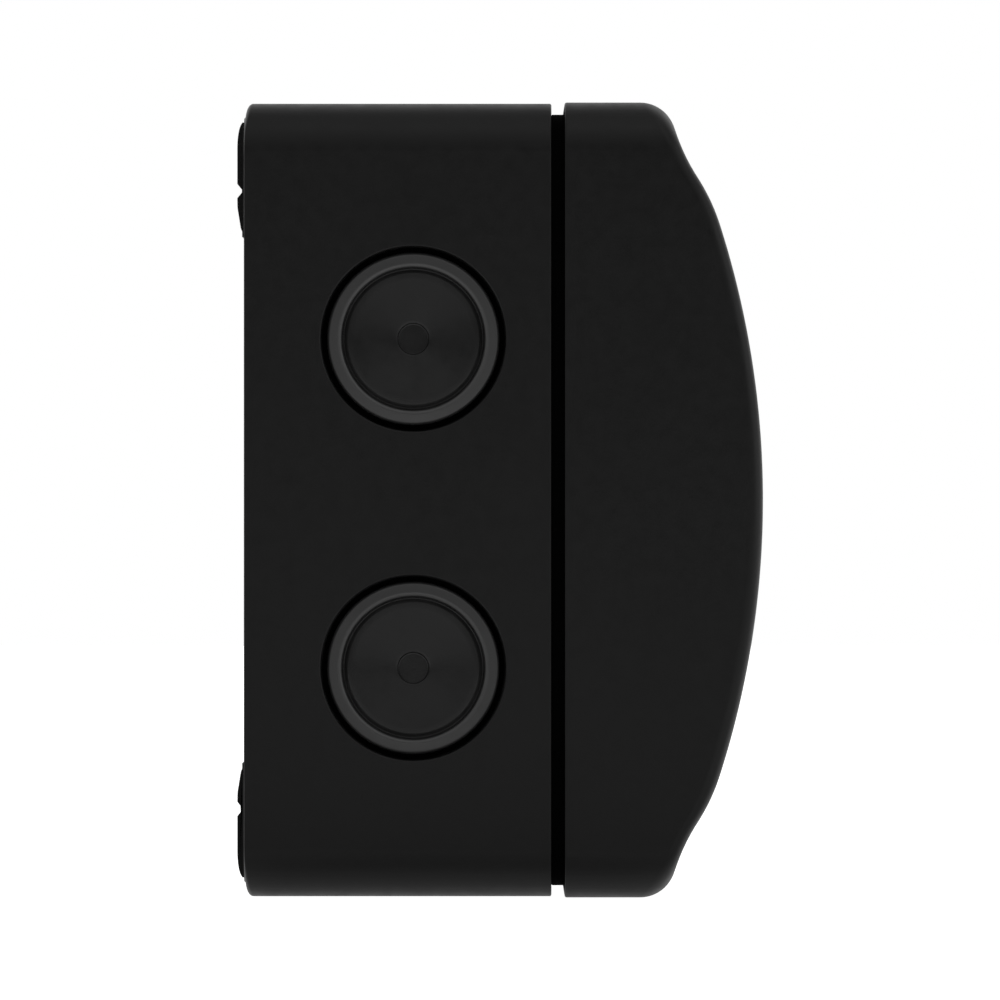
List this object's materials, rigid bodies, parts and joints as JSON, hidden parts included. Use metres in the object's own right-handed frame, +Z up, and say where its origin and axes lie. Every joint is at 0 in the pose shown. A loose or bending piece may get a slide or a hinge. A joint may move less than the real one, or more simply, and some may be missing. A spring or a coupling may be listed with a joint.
{
  "type": "pedestrian traffic light",
  "caption": "Compact wall-mounted pedestrian signal: two-part moulded box with a bowed front, flush lit-figure windows, a set-back seal and round side blanking plugs.",
  "frame": {"origin": "centre of the four wall fixings, on the plane of the rubber feet's outer faces", "axes": "+Z up; the lit front looks along -Y; +X is to the right as seen from the front's viewer, so the side with the two blanking plugs is -X"},
  "size_m": [0.13, 0.0859, 0.13],
  "materials": {
    "housing_plastic": "fine moulded texture",
    "cover_plastic": "fine moulded texture",
    "plug_plastic": "smooth moulded, faint turning rings",
    "foot_rubber": "matt moulded rubber",
    "seal_rubber": "matt seal rubber",
    "inner_plastic": "smooth moulded",
    "zinc_steel": "bright zinc plate",
    "clip_steel": "dark spring steel",
    "insert_brass": "turned",
    "fuse_brass": "pressed, tinned",
    "lens_red": "clear tinted polycarbonate",
    "lens_green": "clear tinted polycarbonate",
    "mask_black": "dead matt film",
    "chassis_aluminium": "brushed sheet",
    "lamp_board": "white solder mask on aluminium",
    "lamp_red": "moulded clear-red domes",
    "lamp_green": "moulded clear-green domes",
    "box_white": "white reflective moulding",
    "diffuser_opal": "opal sheet",
    "board_green": "solder mask over laminate",
    "cable_grey": "flat cable with sockets",
    "capacitor_sleeve": "shrunk sleeve",
    "transformer_core": "taped winding and bobbin",
    "fuse_glass": "glass tube with metal caps",
    "varistor_blue": "dipped lacquer",
    "chip_black": "moulded packages",
    "terminal_green": "moulded block",
    "vent_membrane": "porous membrane"
  },
  "bodies": {
    "housing": {"base_housing": "housing_plastic", "foot_pads": "foot_rubber", "threaded_inserts": "insert_brass", "cable_grommet": "seal_rubber", "vent_plug": "inner_plastic", "vent_membrane": "vent_membrane", "cover_gasket": "seal_rubber", "chassis": "chassis_aluminium", "chassis_screws": "zinc_steel", "led_board_red": "lamp_board", "led_board_green": "lamp_board", "leds_red": "lamp_red", "leds_green": "lamp_green", "light_box_red": "box_white", "light_box_green": "box_white", "diffuser_red": "diffuser_opal", "diffuser_green": "diffuser_opal", "driver_board": "board_green", "board_screws": "zinc_steel", "link_cable_red": "cable_grey", "link_cable_green": "cable_grey", "capacitor": "capacitor_sleeve", "transformer": "transformer_core", "fuse": "fuse_glass", "fuse_clips": "fuse_brass", "varistor": "varistor_blue", "driver_chips": "chip_black", "terminal_block": "terminal_green"},
    "cover": {"front_cover": "cover_plastic", "lens_red": "lens_red", "lens_green": "lens_green", "lens_gasket_red": "seal_rubber", "lens_gasket_green": "seal_rubber", "figure_mask_red": "mask_black", "figure_mask_green": "mask_black", "lens_frame": "inner_plastic", "frame_screws": "zinc_steel"},
    "screw_1_holder": {"screw_seal_1": "seal_rubber", "screw_clip_1": "clip_steel"},
    "screw_1": {"cover_screw_1": "zinc_steel"},
    "screw_2_holder": {"screw_seal_2": "seal_rubber", "screw_clip_2": "clip_steel"},
    "screw_2": {"cover_screw_2": "zinc_steel"},
    "screw_3_holder": {"screw_seal_3": "seal_rubber", "screw_clip_3": "clip_steel"},
    "screw_3": {"cover_screw_3": "zinc_steel"},
    "screw_4_holder": {"screw_seal_4": "seal_rubber", "screw_clip_4": "clip_steel"},
    "screw_4": {"cover_screw_4": "zinc_steel"},
    "blanking_upper": {"plug_upper": "plug_plastic", "plug_seal_upper": "seal_rubber"},
    "blanking_lower": {"plug_lower": "plug_plastic", "plug_seal_lower": "seal_rubber"},
    "leaf_1": {"wire_leaf_1": "fuse_brass"},
    "pole_screw_1": {"terminal_screw_1": "zinc_steel"},
    "leaf_2": {"wire_leaf_2": "fuse_brass"},
    "pole_screw_2": {"terminal_screw_2": "zinc_steel"},
    "leaf_3": {"wire_leaf_3": "fuse_brass"},
    "pole_screw_3": {"terminal_screw_3": "zinc_steel"}
  },
  "joints": [
    {"name": "cover_lift", "type": "slide", "parent": "housing", "child": "cover", "axis": [0, -1, 0], "range_m": [0, 0.07]},
    {"name": "screw_1_advance", "type": "slide", "parent": "cover", "child": "screw_1_holder", "axis": [0, -1, 0], "range_m": [0, 0.0062]},
    {"name": "screw_1_turn", "type": "hinge", "parent": "screw_1_holder", "child": "screw_1", "pos_m": [-0.054, -0.066, 0.0565], "axis": [0, -1, 0], "range_deg": [0, 3190]},
    {"name": "screw_2_advance", "type": "slide", "parent": "cover", "child": "screw_2_holder", "axis": [0, -1, 0], "range_m": [0, 0.0062]},
    {"name": "screw_2_turn", "type": "hinge", "parent": "screw_2_holder", "child": "screw_2", "pos_m": [0.054, -0.066, 0.0565], "axis": [0, -1, 0], "range_deg": [0, 3190]},
    {"name": "screw_3_advance", "type": "slide", "parent": "cover", "child": "screw_3_holder", "axis": [0, -1, 0], "range_m": [0, 0.0062]},
    {"name": "screw_3_turn", "type": "hinge", "parent": "screw_3_holder", "child": "screw_3", "pos_m": [-0.054, -0.066, -0.0565], "axis": [0, -1, 0], "range_deg": [0, 3190]},
    {"name": "screw_4_advance", "type": "slide", "parent": "cover", "child": "screw_4_holder", "axis": [0, -1, 0], "range_m": [0, 0.0062]},
    {"name": "screw_4_turn", "type": "hinge", "parent": "screw_4_holder", "child": "screw_4", "pos_m": [0.054, -0.066, -0.0565], "axis": [0, -1, 0], "range_deg": [0, 3190]},
    {"name": "plug_upper_pull", "type": "slide", "parent": "housing", "child": "blanking_upper", "axis": [-1, 0, 0], "range_m": [0, 0.03]},
    {"name": "plug_lower_pull", "type": "slide", "parent": "housing", "child": "blanking_lower", "axis": [-1, 0, 0], "range_m": [0, 0.03]},
    {"name": "leaf_1_press", "type": "slide", "parent": "housing", "child": "leaf_1", "axis": [0, 1, 0], "range_m": [0, 0.0025]},
    {"name": "terminal_1_turn", "type": "hinge", "parent": "leaf_1", "child": "pole_screw_1", "pos_m": [-0.0295, -0.0199, -0.052], "axis": [0, 1, 0], "range_deg": [0, 1802]},
    {"name": "leaf_2_press", "type": "slide", "parent": "housing", "child": "leaf_2", "axis": [0, 1, 0], "range_m": [0, 0.0025]},
    {"name": "terminal_2_turn", "type": "hinge", "parent": "leaf_2", "child": "pole_screw_2", "pos_m": [-0.022, -0.0199, -0.052], "axis": [0, 1, 0], "range_deg": [0, 1802]},
    {"name": "leaf_3_press", "type": "slide", "parent": "housing", "child": "leaf_3", "axis": [0, 1, 0], "range_m": [0, 0.0025]},
    {"name": "terminal_3_turn", "type": "hinge", "parent": "leaf_3", "child": "pole_screw_3", "pos_m": [-0.0145, -0.0199, -0.052], "axis": [0, 1, 0], "range_deg": [0, 1802]}
  ],
  "couplings": [
    {"joint": "screw_1_turn", "follows": "screw_1_advance", "rad_per_m": 8976},
    {"joint": "screw_2_turn", "follows": "screw_2_advance", "rad_per_m": 8976},
    {"joint": "screw_3_turn", "follows": "screw_3_advance", "rad_per_m": 8976},
    {"joint": "screw_4_turn", "follows": "screw_4_advance", "rad_per_m": 8976},
    {"joint": "terminal_1_turn", "follows": "leaf_1_press", "rad_per_m": 12566},
    {"joint": "terminal_2_turn", "follows": "leaf_2_press", "rad_per_m": 12566},
    {"joint": "terminal_3_turn", "follows": "leaf_3_press", "rad_per_m": 12566}
  ]
}
